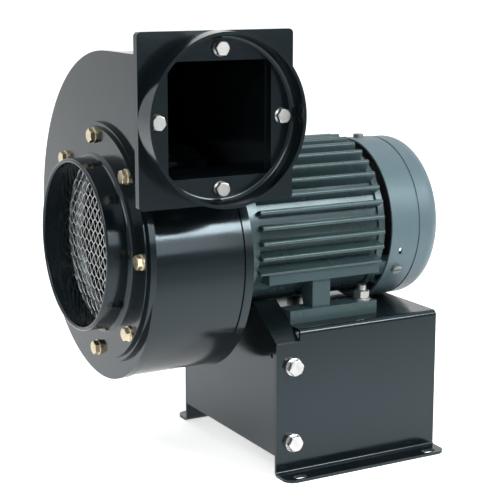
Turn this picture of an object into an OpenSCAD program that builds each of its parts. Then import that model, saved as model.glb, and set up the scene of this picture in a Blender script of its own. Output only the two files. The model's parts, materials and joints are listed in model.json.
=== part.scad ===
// Centrifugal scroll blower with a finned foot motor on a folded sheet pedestal.
// Millimetres. The shaft runs along X with the inlet at -X, the outlet faces -Y,
// +Z is up, and the origin is on the floor at the centre of the four base slots.

/* [Pedestal] */
// Length of the pedestal along the shaft
ped_l = 158; // [140:1:200]
// Width of the pedestal across its side panels
ped_w = 166; // [160:1:200]
// Height of the pedestal's top plate above the floor
ped_h = 122; // [105:1:160]
// Thickness of the pedestal and end plate sheet
ped_t = 2.5; // [1.5:0.5:4]
// Inner radius of the pedestal's bends
bend_r = 2; // [1:0.5:4]
// Width of each bottom flange beyond its side panel
toe_w = 20; // [16:1:30]
// Corner radius of the bottom flanges
toe_corner_r = 9; // [2:1:12]
// Width of the base slots
slot_w = 7; // [5:0.5:9]
// Overall length of the base slots
slot_l = 12; // [10:1:18]
// Distance between the base slots along the shaft
slot_pitch_x = 128; // [110:1:135]
// Distance from a side panel to the slot centres in its flange
slot_out = 14; // [9:0.5:15]

/* [End plate] */
// Height of the end plate's bottom edge above the floor
plate_gap = 17.5; // [10:0.5:25]
// Drop from the pedestal's top to the start of the sloping shoulders
shoulder_drop = 8; // [6:0.5:14]
// Slope of the shoulders in degrees
shoulder_slope = 35; // [20:1:45]
// Width of the end plate's folded lips
lip_w = 22; // [20:1:24]
// Distance from the end plate's face to the side bolts
side_bolt_in = 15.5; // [12:0.5:17]
// Distance from the end plate's bottom edge to the lower side bolts
side_bolt_low = 10; // [9.5:0.5:16]
// Distance from the start of the shoulders down to the upper side bolts
side_bolt_high = 22; // [16:0.5:30]
// Radius of the cut that clears the motor in the end plate's top
plate_cut_r = 53; // [50:1:56]

/* [Scroll housing] */
// Distance from the base centre to the middle of the scroll along the shaft
scroll_off = 149; // [147:1:160]
// Width of the scroll over its two plates
scroll_w = 86; // [82:1:94]
// Thickness of the scroll sheet
wall = 1.5; // [1:0.25:2]
// Height of the scroll's inner top above the shaft axis
volute_top = 150.5; // [146:0.5:165]
// Growth of the scroll radius over each quarter turn
volute_step = 19.7; // [17:0.1:21]
// Radius of the tongue between the scroll and the outlet duct
tongue_r = 8; // [6:0.5:12]
// Width of the folded seam bands at the scroll's edges
seam_w = 7; // [4:0.5:10]
// Thickness of the folded seam bands
seam_t = 1.2; // [0.8:0.1:1.5]

/* [Outlet] */
// Distance from the shaft axis to the outlet collar's plate face
outlet_reach = 116; // [112:1:135]
// Side of the square opening
opening = 85; // [82:0.5:85.5]
// Side of the square outlet flange
flange_side = 128; // [124:1:140]
// Thickness of the outlet flange and of the collar's plate
flange_t = 3; // [2:0.5:5]
// Corner radius of the outlet flange
flange_corner_r = 3.5; // [1:0.5:8]
// Thickness of the raised pad inside the collar
pad_t = 4.6; // [3:0.2:7]
// Outer radius of the outlet collar
outlet_r = 64; // [62:0.5:66]
// Length of the outlet collar beyond its plate
outlet_l = 20.5; // [15:0.5:40]
// Wall of both collars
collar_wall = 2.5; // [1.5:0.5:4]
// Distance from the edge of the opening out to the outlet bolts
outlet_bolt_out = 9; // [8.5:0.1:10]

/* [Inlet] */
// Outer radius of the inlet collar
inlet_r = 69; // [66:0.5:70]
// Length of the inlet collar beyond its plate
inlet_l = 20.5; // [15:0.5:40]
// Outer radius of the inlet collar's plate
inlet_plate_r = 93.5; // [93:0.5:96]
// Thickness of the inlet collar's plate
inlet_plate_t = 2.5; // [2:0.5:4]
// Outer radius of the spacer ring behind the inlet plate
spacer_r = 97; // [95:0.5:100]
// Thickness of the spacer ring
spacer_t = 3.5; // [3:0.5:8]
// Radius of the inlet bolt circle
inlet_bolt_r = 86.5; // [84:0.5:87]
// Number of inlet bolts
inlet_bolt_n = 8; // [4:1:10]
// Radius of the fillet between the collars and their plates
collar_fillet = 4; // [1:0.5:5]
// Pitch of the wire guard's mesh
mesh_pitch = 6; // [5:0.5:12]
// Width of the guard's wires
mesh_wire = 1.2; // [0.8:0.1:2]

/* [Impeller] */
// Outer radius of the impeller
impeller_r = 74; // [66:0.5:75]
// Inner radius of the blade ring
blade_inner_r = 60; // [56:0.5:62]
// Length of the blades along the shaft
blade_l = 58; // [40:1:60]
// Number of blades
blade_n = 36; // [24:1:44]
// Thickness of the blades
blade_t = 1; // [0.8:0.1:1.5]
// Throat radius of the inlet cone
throat_r = 54; // [48:0.5:55]

/* [Motor] */
// Shaft height above the feet
frame_h = 71; // [71:0.5:80]
// Distance from the scroll to the motor frame
shield_l = 20; // [18:0.5:24]
// Length of the finned motor frame
frame_l = 116.5; // [112:0.5:130]
// Radius over the fins
fin_tip_r = 74.5; // [70:0.5:78]
// Outer radius of the frame between the fins
fin_root_r = 63; // [61:0.5:66]
// Number of fin places round the whole frame
fin_n = 36; // [28:1:44]
// Thickness of a fin at its tip
fin_tip_t = 2; // [1.5:0.1:3]
// Thickness of a fin at its root
fin_root_t = 3.4; // [2.5:0.1:4.5]
// Distance between the foot holes across the shaft
foot_pitch_y = 112; // [108:1:118]
// Distance between the foot holes along the shaft
foot_pitch_x = 66; // [60:1:68]
// Length of each foot
foot_l = 85; // [84:1:87]
// Thickness of each foot
foot_t = 11; // [8:0.5:13]
// Radius of the shaft at its bearings
journal_r = 7.5; // [7.5:0.5:8]
// Radius of the shaft's drive end
drive_r = 7; // [6:0.5:7]

/* [Fan cowl] */
// Outer radius of the fan cowl
cowl_r = 70.5; // [69:0.5:70.5]
// Gap between the motor frame and the cowl
cowl_gap = 10; // [6:0.5:14]
// Length of the cowl
cowl_l = 52; // [50:1:60]
// Radius of the cowl's rear corner
cowl_corner_r = 13; // [8:0.5:16]

/* [Terminal box] */
// Length of the terminal box along the shaft
box_l = 78; // [70:1:90]
// Height of the terminal box
box_h = 70; // [60:1:80]
// Depth of the terminal box
box_d = 34; // [30:1:40]
// Radius of the cable entry
entry_r = 8; // [6:0.5:9]

/* [Hidden] */
$fn = 96;

// Fits and small clearances
fit = 0.05;
play = 0.5;
seat_gap = 0.1;
past = 1;
eps = 0.01;

// M8 hardware with small hexagons, M6 for the inlet and outlet, M5 for the cowl and the box
m8_r = 4;
m8_af = 12;
m8_head = 5.3;
m8_nut = 6.5;
m8_washer_r = 7.5;
m8_washer_t = 1.6;
m6_r = 3;
m6_af = 10;
m6_head = 4;
m6_nut = 5;
m6_washer_r = 6.25;
m6_washer_t = 1.4;
m6_flange_r = 6;
m6_flange_t = 1.2;
m5_r = 2.5;
m5_head_r = 4.4;
m5_head = 3;
m5_af = 8;

// Levels and stations along the shaft
axis_z = ped_h + frame_h;
end_x = -ped_l / 2;
scroll_x0 = -scroll_off - scroll_w / 2;
scroll_x1 = scroll_x0 + scroll_w;
frame_x0 = scroll_x1 + shield_l;
frame_x1 = frame_x0 + frame_l;
cowl_x0 = frame_x1 + cowl_gap;
cowl_x1 = cowl_x0 + cowl_l;

// Pedestal and end plate
ped_y = ped_w / 2;
toe_y = ped_y + toe_w;
outer_bend = bend_r + ped_t;
slot_y = ped_y + slot_out;
lip_y = ped_y - ped_t - seat_gap;
lip_notch = 0.3;
shoulder_z = ped_h - shoulder_drop;
plate_top_y = 20;
plate_cut_z = ped_h - 6 + plate_cut_r;
side_bolt_x = end_x + side_bolt_in;
side_bolt_z = [plate_gap + side_bolt_low, shoulder_z - side_bolt_high];
side_bolt_l = 16;
drain_r = 1.75;
drain_in = 7.5;
drain_drop = 21;

// Scroll: four arcs whose centres lie on a square of side volute_step
step = volute_step / 2;
arc_r = [for (i = [0:3]) volute_top - step - i * volute_step];
outlet_z = volute_top - opening / 2;
duct_z = volute_top - opening;
outlet_stack = 2 * flange_t;
duct_y = -(outlet_reach - outlet_stack);
tongue_z = duct_z - tongue_r;
tongue_y = -step - sqrt(pow(arc_r[3] + tongue_r, 2) - pow(tongue_z + step, 2));
seam_out = wall + seam_t;
tongue_ease = 0.02;
scroll_screw_r = 44;
scroll_screw_l = 9;
outlet_bolt_r = opening / 2 + outlet_bolt_out;
outlet_bolt_l = 18;
outlet_fillet = min(collar_fillet, outlet_r - collar_wall - outlet_bolt_r - m6_flange_r);

// Inlet stack, outwards from the scroll's front face
spacer_x = scroll_x0 - spacer_t;
inlet_face_x = spacer_x - inlet_plate_t;
inlet_end_x = inlet_face_x - inlet_l;
inlet_bead_r = 1.8;
seat_rim = 6;
seat_r = inlet_r + seat_rim;
guard_x = spacer_x;
guard_t = 1.2;
guard_disc_r = seat_r - play;
guard_ring_w = 7;
cone_t = 1.2;
cone_curve = 8;
cone_x = scroll_x0 - cone_t;
inlet_bolt_l = m6_washer_t + inlet_plate_t + spacer_t + wall;

// Impeller
disc_t = 1.5;
disc_x = scroll_x1 - wall - 11;
blade_x0 = disc_x - blade_l;
blade_curve = 16;
shroud_t = 1.2;
hub_r = 17;
hub_l = 27;
hub_x1 = disc_x + disc_t;
hub_x0 = hub_x1 - hub_l;
hub_flange_r = 34;
hub_flange_t = 4;
impeller_washer_r = 12;
impeller_washer_t = 2;
impeller_bolt_l = 16;
cone_overlap = 2;
cone_l = blade_x0 + cone_overlap - cone_x;

// Bearings, shaft and the place of the cooling fan on it
fan_in = 13;
fan_w = 17;
bearing_r = 17.5;
bearing_w = 11;
race_t = 3;
ball_n = 8;
race_r = (journal_r + bearing_r) / 2;
ball_r = (bearing_r - journal_r) / 2 - race_t + 0.9;
groove_r = ball_r + fit;
seal_t = 4;
seal_r = 14;
front_bearing_x = scroll_x1 + 6;
pocket_end_x = frame_x1 + 5.5;
spring_t = 1.5;
rear_bearing_x = pocket_end_x - spring_t - bearing_w;
core_r = 11;
shaft_x0 = hub_x0 + 1;
shaft_x1 = cowl_x0 + fan_in + fan_w + past;
key_w = 5;
key_l = 20;
key_rise = 2;
key_x0 = shaft_x0 + 2;

// Motor inside and shields
bore_r = 57;
stator_l = 60;
stator_in = 28;
stator_x0 = frame_x0 + stator_in;
winding_l = 12;
winding_r = 52;
rotor_r = 33;
air_gap = 0.4;
rotor_over = 2;
shield_rim_l = 12;
shield_wall = 6;
shield_hub_r = 24;
spigot_l = 4;
shield_bolt_r = 60;
shield_screw_in = 8;
shield_neck_r = 54;
drive_shield_r = fin_root_r + 5.5;
rear_shield_r = fin_root_r + 2;
rear_shield_t = 6;
lug_w = 14;
lug_t = 8;
fan_x0 = cowl_x0 + fan_in;
fan_r = 55;
fan_hub_r = 14;
fan_disc_t = 2;
fan_blade_n = 8;

// Feet, legs and side ledges, heights taken from the shaft axis
foot_half = 9;
foot_y0 = foot_pitch_y / 2 - foot_half;
foot_y1 = foot_pitch_y / 2 + foot_half;
foot_clear = 1.5;
foot_x0 = end_x + lip_w + foot_clear;
foot_bolt_in = 9.5;
foot_tapped_x = foot_x0 + foot_bolt_in;
foot_through_x = foot_tapped_x + foot_pitch_x;
foot_tap_roof = 2;
foot_thread_l = 4.7;
leg_w = 17;
leg_in = 23;
leg_x0 = foot_x0 + leg_in;
leg_y = foot_y1 - 3;
ledge_y = foot_y1 + 1;
ledge_z0 = -36;
ledge_z1 = -26.5;
ledge_in = 10;
fin_a0 = -20;

// Cowl
cowl_t = 1.5;
cowl_step = 0.4;
cowl_groove_w = 2.6;
cowl_groove_d = 1.2;
cowl_step_x = cowl_x0 + cowl_l / 2;
cowl_screw_a = [90, -30, 210];
cowl_screw_in = 10.5;
cowl_screw_x = cowl_x0 + cowl_screw_in;
cowl_screw_l = 9;
lug_r = cowl_r - cowl_t - seat_gap;
lug_l = 16;
grille_ring_n = 5;
grille_slot = 4;
grille_r0 = 14;
grille_pitch = 8.5;
grille_spoke_n = 6;
grille_spoke = 5;
notch_w = 6;
notch_a = -16;

// Terminal box
box_x0 = frame_x0 + 16;
box_x1 = box_x0 + box_l;
box_z = 12;
pad_y = fin_tip_r + 2;
pad_in = 5;
box_wall = 3;
lid_t = 4;
box_screw_in = 7;
box_post_r = 5;
entry_low = 13;
entry_bore = entry_r - 2.5;
bush_flange_t = 3;
bush_lip = 3;
bush_grip = 2;
block_l = 46;
block_w = 26;
block_t = 10;
block_pitch_x = 15;
block_pitch_y = 14;
block_stud_l = 18;
block_stud_r = 2;
lid_screw_l = 12;

// ---------- helpers ----------

// Profile of (radius, x) turned round the shaft axis
module turned() {
    translate([0, 0, axis_z]) rotate([0, 90, 0]) rotate_extrude() children();
}

// Outline of (y, z) extruded along the shaft
module along_x(x0, length) {
    translate([x0, 0, 0]) rotate([90, 0, 90]) linear_extrude(height = length) children();
}

// Outline of (y, z from the shaft axis) extruded along the shaft
module along_axis(x0, length) {
    translate([0, 0, axis_z]) along_x(x0, length) children();
}

// Places children round the shaft, a degrees up from the outlet side, local +Z to -X
module round_axis(x, r, a) {
    translate([x, -r * cos(a), axis_z + r * sin(a)]) rotate([0, -90, 0]) children();
}

// Places children on the motor's skin, a degrees up from the outlet side, local +Z outwards
module radially(x, r, a) {
    translate([x, -r * cos(a), axis_z + r * sin(a)]) rotate([90 - a, 0, 0]) children();
}

// Places children on the outlet's axis, local +Z towards -Y
module on_outlet(y, dx = 0, dz = 0) {
    translate([-scroll_off + dx, y, axis_z + outlet_z + dz]) rotate([90, 0, 0]) children();
}

// Places children at each of the four outlet bolts, flats of a hexagon facing the duct
module at_outlet_bolts(y) {
    for (a = [0:90:270])
        on_outlet(y, outlet_bolt_r * cos(a), outlet_bolt_r * sin(a))
            rotate([0, 0, a + 30]) children();
}

// Places children at each inlet bolt, local +Z to -X
module at_inlet_bolts(x) {
    for (i = [0:inlet_bolt_n - 1])
        round_axis(x, inlet_bolt_r, 90 + i * 360 / inlet_bolt_n) children();
}

// Places children at the side bolts, local +Z away from the panel
module at_side_bolts(y) {
    both_sides() for (z = side_bolt_z)
        translate([side_bolt_x, -y, z]) rotate([90, 0, 0]) children();
}

// Places children at the foot bolts of one station along the shaft, local +Z up
module at_foot_bolts(x, z) {
    for (s = [-1, 1]) translate([x, s * foot_pitch_y / 2, z]) children();
}

module both_sides() {
    children();
    mirror([0, 1, 0]) children();
}

module both_halves2d() {
    children();
    mirror([1, 0]) children();
}

module ring2d(r_out, r_in) {
    difference() {
        circle(r_out);
        circle(r_in);
    }
}

// Quarter of a sheet bend: outer radius r, sheet t, in the quadrant (sx, sy)
module bend2d(x, y, r, t, sx, sy) {
    translate([x, y]) intersection() {
        ring2d(r, r - t);
        translate([sx > 0 ? 0 : -r, sy > 0 ? 0 : -r]) square(r);
    }
}

module rounded2d(w, h, r) {
    translate([-w / 2 + r, -h / 2]) square([w - 2 * r, h]);
    translate([-w / 2, -h / 2 + r]) square([w, h - 2 * r]);
    for (sx = [-1, 1], sy = [-1, 1])
        translate([sx * (w / 2 - r), sy * (h / 2 - r)]) circle(r);
}

module hole(r, t) {
    translate([0, 0, -past]) cylinder(h = t + 2 * past, r = r);
}

// Hexagon bolt: head from z = 0 upwards, shank downwards
module hex_bolt(r, length, af, head) {
    cylinder(h = head, r = af / 2 / cos(30), $fn = 6);
    translate([0, 0, -length]) cylinder(h = length, r = r);
}

// Hexagon bolt whose head has a round flange under it
module flange_bolt(r, length, af, head, flange_r, flange_t) {
    hex_bolt(r, length, af, head);
    cylinder(h = flange_t, r = flange_r);
}

module hex_nut(r, af, height) {
    difference() {
        cylinder(h = height, r = af / 2 / cos(30), $fn = 6);
        hole(r + fit, height);
    }
}

module washer(r_out, r_in, t) {
    difference() {
        cylinder(h = t, r = r_out);
        hole(r_in, t);
    }
}

// Slotted pan-head screw: head from z = 0 upwards, shank downwards
module pan_screw(r, length, head_r, head) {
    difference() {
        cylinder(h = head, r = head_r);
        translate([-head_r - past, -0.5, head - 1.2]) cube([2 * (head_r + past), 1, 2]);
    }
    translate([0, 0, -length]) cylinder(h = length, r = r);
}

// ---------- pedestal ----------

// Half of the channel's section: top plate, side panel and bottom flange
module channel_half2d() {
    translate([0, ped_h - ped_t]) square([ped_y - outer_bend, ped_t]);
    bend2d(ped_y - outer_bend, ped_h - outer_bend, outer_bend, ped_t, 1, 1);
    translate([ped_y - ped_t, outer_bend]) square([ped_t, ped_h - 2 * outer_bend]);
    bend2d(ped_y + bend_r, outer_bend, outer_bend, ped_t, -1, -1);
    translate([ped_y + bend_r, 0]) square([toe_w - bend_r, ped_t]);
}

// Height of the sloping shoulder's outer face at distance y from the middle
function shoulder_at(y) = shoulder_z + (lip_y - y) * tan(shoulder_slope);

// Corner of the channel that the sloping lips replace: its side panel reaches up to the
// slope's face, and its top plate stops under the slope's sheet
module above_shoulder2d() {
    drop = (ped_t + play) / cos(shoulder_slope);
    y1 = ped_y + past;
    y2 = lip_y + seat_gap / 2;
    y0 = lip_y - (ped_h + past + drop - shoulder_z) / tan(shoulder_slope);
    polygon([[y1, shoulder_at(y1)], [y1, ped_h + past], [y0, ped_h + past],
        [y2, shoulder_at(y2) - drop], [y2, shoulder_at(y2)]]);
}

module base_slot() {
    translate([0, 0, -past]) linear_extrude(height = ped_t + 2 * past) {
        square([slot_l - slot_w, slot_w], center = true);
        for (s = [-1, 1]) translate([s * (slot_l - slot_w) / 2, 0]) circle(slot_w / 2);
    }
}

// What rounds a corner of the flanges off, with the corner at +X +Y
module toe_corner2d() {
    difference() {
        translate([-toe_corner_r, -toe_corner_r]) square(toe_corner_r + past);
        translate([-toe_corner_r, -toe_corner_r]) circle(toe_corner_r);
    }
}

module pedestal() {
    color([0.09, 0.1, 0.1]) difference() {
        along_x(end_x, ped_l) both_halves2d() channel_half2d();
        for (a = [0, 180]) rotate(a) both_sides() {
            translate([slot_pitch_x / 2, slot_y, 0]) base_slot();
            translate([ped_l / 2, toe_y, -past]) linear_extrude(height = ped_t + 2 * past)
                toe_corner2d();
        }
        for (x = [foot_tapped_x, foot_through_x])
            at_foot_bolts(x, ped_h - ped_t) hole(m8_r + play, ped_t);
        at_side_bolts(ped_y - ped_t) hole(m8_r + play, ped_t);
        along_x(end_x - past, lip_w + lip_notch + past) both_halves2d() above_shoulder2d();
        translate([end_x - past, -lip_y, ped_h - 2 * ped_t])
            cube([ped_t + seat_gap + past, 2 * lip_y, 3 * ped_t]);
    }
}

// Outline of the end plate moved inwards by d, from the height z0 up
module plate2d(d, z0) {
    y1 = lip_y - d;
    z1 = shoulder_z - d * (1 / cos(shoulder_slope) - tan(shoulder_slope));
    z2 = z1 + (y1 - plate_top_y) * tan(shoulder_slope);
    polygon([[-y1, z0], [y1, z0], [y1, z1], [plate_top_y, z2], [-plate_top_y, z2], [-y1, z1]]);
}

module end_plate() {
    color([0.3, 0.32, 0.33]) difference() {
        union() {
            along_x(end_x, ped_t) plate2d(0, plate_gap);
            along_x(end_x, lip_w) difference() {
                plate2d(0, plate_gap);
                plate2d(ped_t, plate_gap - past);
            }
        }
        translate([end_x - past, 0, plate_cut_z]) rotate([0, 90, 0])
            cylinder(h = lip_w + 2 * past, r = plate_cut_r);
        at_side_bolts(lip_y - ped_t) hole(m8_r + play, ped_t);
        for (s = [-1, 1])
            translate([end_x, s * (ped_y - drain_in), ped_h - drain_drop]) rotate([0, 90, 0])
                hole(drain_r, ped_t);
    }
}

module side_bolts() {
    color([0.75, 0.74, 0.68]) at_side_bolts(ped_y + m8_washer_t)
        hex_bolt(m8_r, side_bolt_l, m8_af, m8_head);
}

module side_washers() {
    color([0.8, 0.79, 0.74]) at_side_bolts(ped_y)
        washer(m8_washer_r, m8_r + fit, m8_washer_t);
}

module side_nuts() {
    color([0.75, 0.74, 0.68]) at_side_bolts(lip_y - ped_t - m8_nut)
        hex_nut(m8_r, m8_af, m8_nut);
}

// ---------- scroll housing ----------

// Inside of the scroll and its duct grown by d, in (y, z) from the shaft axis
module scroll2d(d) {
    translate([-step, step]) intersection() {
        circle(arc_r[0] + d);
        square(arc_r[0] + d);
    }
    translate([step, step]) intersection() {
        circle(arc_r[1] + d);
        translate([0, -arc_r[1] - d]) square(arc_r[1] + d);
    }
    translate([step, -step]) intersection() {
        circle(arc_r[2] + d);
        translate([-arc_r[2] - d, -arc_r[2] - d]) square(arc_r[2] + d);
    }
    translate([-step, -step]) intersection() {
        circle(arc_r[3] + d);
        translate([-arc_r[3] - d, 0]) square([arc_r[3] + d, outlet_z]);
    }
    translate([-step, -step]) square(volute_step);
    translate([duct_y, duct_z - d]) square([-step - duct_y, opening + 2 * d]);
    difference() {
        polygon([[-step, -step], [tongue_y, tongue_z],
            [tongue_y, outlet_z], [-step, outlet_z]]);
        translate([tongue_y, tongue_z]) circle(tongue_r - d - tongue_ease);
    }
}

// Sheet strip that follows the scroll between two offsets, open at the outlet
module strip2d(d_out, d_in) {
    difference() {
        scroll2d(d_out);
        scroll2d(d_in);
        translate([duct_y - past, duct_z - d_in]) square([2 * past, opening + 2 * d_in]);
    }
}

module scroll_front_plate() {
    color([0.2, 0.22, 0.24]) difference() {
        union() {
            along_axis(scroll_x0, wall) {
                scroll2d(seam_out);
                circle(spacer_r);
            }
            along_axis(scroll_x0, seam_w) strip2d(seam_out, wall + fit);
        }
        translate([scroll_x0, 0, axis_z]) rotate([0, 90, 0]) hole(throat_r + cone_curve, wall);
        at_inlet_bolts(scroll_x0 + wall) hole(m6_r + play, wall);
    }
}

module scroll_wrapper() {
    color([0.05, 0.06, 0.07]) along_axis(scroll_x0 + wall, scroll_w - 2 * wall) strip2d(wall, 0);
}

module scroll_back_plate() {
    color([0.06, 0.07, 0.08]) difference() {
        union() {
            along_axis(scroll_x1 - wall, wall) scroll2d(seam_out);
            along_axis(scroll_x1 - seam_w, seam_w) strip2d(seam_out, wall + fit);
        }
        translate([scroll_x1 - wall, 0, axis_z]) rotate([0, 90, 0]) hole(seal_r + 4, wall);
        at_scroll_screws(scroll_x1) hole(m6_r + play, wall);
    }
}

// Screws from inside the scroll into the motor's drive shield, local +Z to -X
module at_scroll_screws(x) {
    for (a = [45:90:315]) round_axis(x, scroll_screw_r, a) children();
}

module scroll_screws() {
    color([0.7, 0.7, 0.68]) at_scroll_screws(scroll_x1 - wall)
        hex_bolt(m6_r, scroll_screw_l, m6_af, m6_head);
}

// ---------- outlet ----------

module outlet_flange() {
    color([0.05, 0.06, 0.07]) difference() {
        on_outlet(duct_y) linear_extrude(height = flange_t) difference() {
            rounded2d(flange_side, flange_side, flange_corner_r);
            square([scroll_w - 2 * wall, opening], center = true);
        }
        at_outlet_bolts(duct_y) hole(m6_r + play, flange_t);
    }
}

module outlet_collar() {
    color([0.04, 0.05, 0.06]) difference() {
        union() {
            on_outlet(duct_y - flange_t) linear_extrude(height = flange_t) difference() {
                rounded2d(flange_side, flange_side, flange_corner_r);
                square(opening, center = true);
            }
            on_outlet(-outlet_reach) linear_extrude(height = pad_t) difference() {
                circle(outlet_r - collar_wall / 2);
                square(opening, center = true);
            }
            on_outlet(-outlet_reach) rotate_extrude() {
                translate([outlet_r - collar_wall, 0]) square([collar_wall, outlet_l]);
                translate([outlet_r - collar_wall - outlet_fillet, pad_t]) difference() {
                    square(outlet_fillet);
                    translate([0, outlet_fillet]) circle(outlet_fillet);
                }
            }
        }
        at_outlet_bolts(duct_y - flange_t) hole(m6_r + play, flange_t + pad_t);
    }
}

module outlet_bolts() {
    color([0.85, 0.88, 0.9]) at_outlet_bolts(-outlet_reach - pad_t)
        flange_bolt(m6_r, outlet_bolt_l, m6_af, m6_flange_t + m6_head, m6_flange_r, m6_flange_t);
}

module outlet_nuts() {
    color([0.85, 0.88, 0.9]) at_outlet_bolts(duct_y + m6_nut) hex_nut(m6_r, m6_af, m6_nut);
}

// ---------- inlet ----------

module inlet_spacer() {
    color([0.04, 0.04, 0.05]) difference() {
        turned() translate([seat_r, spacer_x]) square([spacer_r - seat_r, spacer_t]);
        at_inlet_bolts(spacer_x + spacer_t) hole(m6_r + play, spacer_t);
    }
}

module inlet_collar() {
    color([0.3, 0.32, 0.34]) difference() {
        turned() {
            r0 = inlet_r - collar_wall;
            translate([r0, inlet_face_x]) square([inlet_plate_r - r0, inlet_plate_t]);
            translate([r0, inlet_end_x + inlet_bead_r])
                square([collar_wall, inlet_l - inlet_bead_r + eps]);
            translate([inlet_r - inlet_bead_r, inlet_end_x + inlet_bead_r])
                circle(inlet_bead_r);
            difference() {
                translate([inlet_r - eps, inlet_face_x - collar_fillet])
                    square(collar_fillet + eps);
                translate([inlet_r + collar_fillet, inlet_face_x - collar_fillet])
                    circle(collar_fillet);
            }
        }
        at_inlet_bolts(spacer_x) hole(m6_r + play, inlet_plate_t);
    }
}

module inlet_bolts() {
    color([0.8, 0.66, 0.35]) at_inlet_bolts(inlet_face_x - m6_washer_t)
        hex_bolt(m6_r, inlet_bolt_l, m6_af, m6_head);
}

module inlet_washers() {
    color([0.85, 0.72, 0.42]) at_inlet_bolts(inlet_face_x)
        washer(m6_washer_r, m6_r + fit, m6_washer_t);
}

// One layer of parallel wires, clipped to the guard's disc
module wires2d(a) {
    n = ceil(guard_disc_r / mesh_pitch);
    intersection() {
        circle(guard_disc_r);
        rotate(a) for (i = [-n:n])
            translate([i * mesh_pitch - mesh_wire / 2, -guard_disc_r])
                square([mesh_wire, 2 * guard_disc_r]);
    }
}

module guard_front_wires() {
    color([0.75, 0.76, 0.76]) along_axis(guard_x, guard_t / 2) wires2d(45);
}

module guard_rear_wires() {
    color([0.75, 0.76, 0.76]) along_axis(guard_x + guard_t / 2, guard_t / 2) wires2d(-45);
}

module guard_ring() {
    color([0.6, 0.62, 0.63]) along_axis(guard_x + guard_t, cone_x - guard_x - guard_t)
        ring2d(guard_disc_r, guard_disc_r - guard_ring_w);
}

module inlet_cone() {
    color([0.8, 0.8, 0.78]) turned() {
        mouth_r = throat_r + cone_curve;
        translate([mouth_r, cone_x]) square([seat_r - play - mouth_r, cone_t]);
        bend2d(mouth_r, cone_x + cone_curve, cone_curve, cone_t, -1, -1);
        translate([throat_r, cone_x + cone_curve]) square([cone_t, cone_l - cone_curve]);
    }
}

// ---------- impeller ----------

module impeller_hub() {
    color([0.55, 0.56, 0.57]) difference() {
        turned() {
            translate([0, hub_x0]) square([hub_r, hub_l]);
            translate([0, disc_x - hub_flange_t]) square([hub_flange_r, hub_flange_t]);
        }
        translate([hub_x0 - past, 0, axis_z]) rotate([0, 90, 0])
            cylinder(h = hub_l + 2 * past, r = drive_r + fit);
        key_way(drive_r + key_rise + fit, hub_x0 - past, hub_l + 2 * past);
    }
}

// Slot for the key, from the shaft axis up to radius r
module key_way(r, x0, length) {
    translate([x0, -key_w / 2 - fit, axis_z]) cube([length, key_w + 2 * fit, r]);
}

module impeller_disc() {
    color([0.09, 0.1, 0.11]) along_axis(disc_x, disc_t) ring2d(impeller_r, hub_r + fit);
}

module impeller_blades() {
    color([0.09, 0.1, 0.11]) along_axis(blade_x0, blade_l) for (i = [0:blade_n - 1])
        rotate(i * 360 / blade_n) intersection() {
            ring2d(impeller_r, blade_inner_r);
            translate([blade_inner_r, blade_curve])
                ring2d(blade_curve + blade_t / 2, blade_curve - blade_t / 2);
            translate([blade_inner_r - past, -blade_t]) square([impeller_r, blade_curve]);
        }
}

module impeller_shroud() {
    color([0.09, 0.1, 0.11]) along_axis(blade_x0 - shroud_t, shroud_t)
        ring2d(impeller_r, blade_inner_r);
}

module impeller_bolt() {
    color([0.7, 0.7, 0.68]) round_axis(hub_x0 - impeller_washer_t, 0, 0)
        hex_bolt(m6_r, impeller_bolt_l, m6_af, m6_head);
}

module impeller_washer() {
    color([0.7, 0.7, 0.68]) round_axis(hub_x0, 0, 0)
        washer(impeller_washer_r, m6_r + fit, impeller_washer_t);
}

// ---------- shaft and bearings ----------

module shaft() {
    color([0.7, 0.71, 0.72]) difference() {
        union() {
            turned() {
                translate([0, shaft_x0]) square([drive_r, shaft_x1 - shaft_x0]);
                translate([0, front_bearing_x]) square([journal_r, fan_x0 - front_bearing_x]);
                translate([0, front_bearing_x + bearing_w])
                    square([core_r, rear_bearing_x - front_bearing_x - bearing_w]);
            }
        }
        round_axis(shaft_x0 - past, 0, 0) translate([0, 0, -impeller_bolt_l - past])
            cylinder(h = impeller_bolt_l + 2 * past, r = m6_r + fit);
        translate([key_x0, -key_w / 2, axis_z + drive_r + key_rise - key_w])
            cube([key_l, key_w, key_w]);
    }
}

module shaft_key() {
    color([0.6, 0.6, 0.6]) translate([key_x0, -key_w / 2, axis_z + drive_r + key_rise - key_w])
        cube([key_l, key_w, key_w]);
}

module rotor_core() {
    color([0.5, 0.51, 0.53]) along_axis(stator_x0 - rotor_over, stator_l + 2 * rotor_over)
        ring2d(rotor_r, core_r);
}

// Groove of the balls in both rings of a bearing that starts at x
module ball_groove2d(x) {
    translate([race_r, x + bearing_w / 2]) circle(groove_r);
}

module inner_ring(x) {
    color([0.78, 0.79, 0.8]) turned() difference() {
        translate([journal_r, x]) square([race_t, bearing_w]);
        ball_groove2d(x);
    }
}

module outer_ring(x) {
    color([0.78, 0.79, 0.8]) turned() difference() {
        translate([bearing_r - race_t, x]) square([race_t, bearing_w]);
        ball_groove2d(x);
    }
}

module ball_row(x) {
    color([0.85, 0.86, 0.87]) for (i = [0:ball_n - 1])
        round_axis(x + bearing_w / 2, race_r, i * 360 / ball_n) sphere(ball_r);
}

module front_inner_ring() {
    inner_ring(front_bearing_x);
}

module rear_inner_ring() {
    inner_ring(rear_bearing_x);
}

module front_balls() {
    ball_row(front_bearing_x);
}

module rear_balls() {
    ball_row(rear_bearing_x);
}

module front_outer_ring() {
    outer_ring(front_bearing_x);
}

module rear_outer_ring() {
    outer_ring(rear_bearing_x);
}

module spring_washer() {
    color([0.6, 0.62, 0.65]) along_axis(rear_bearing_x + bearing_w, spring_t)
        ring2d(bearing_r - play, bearing_r - race_t);
}

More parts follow.
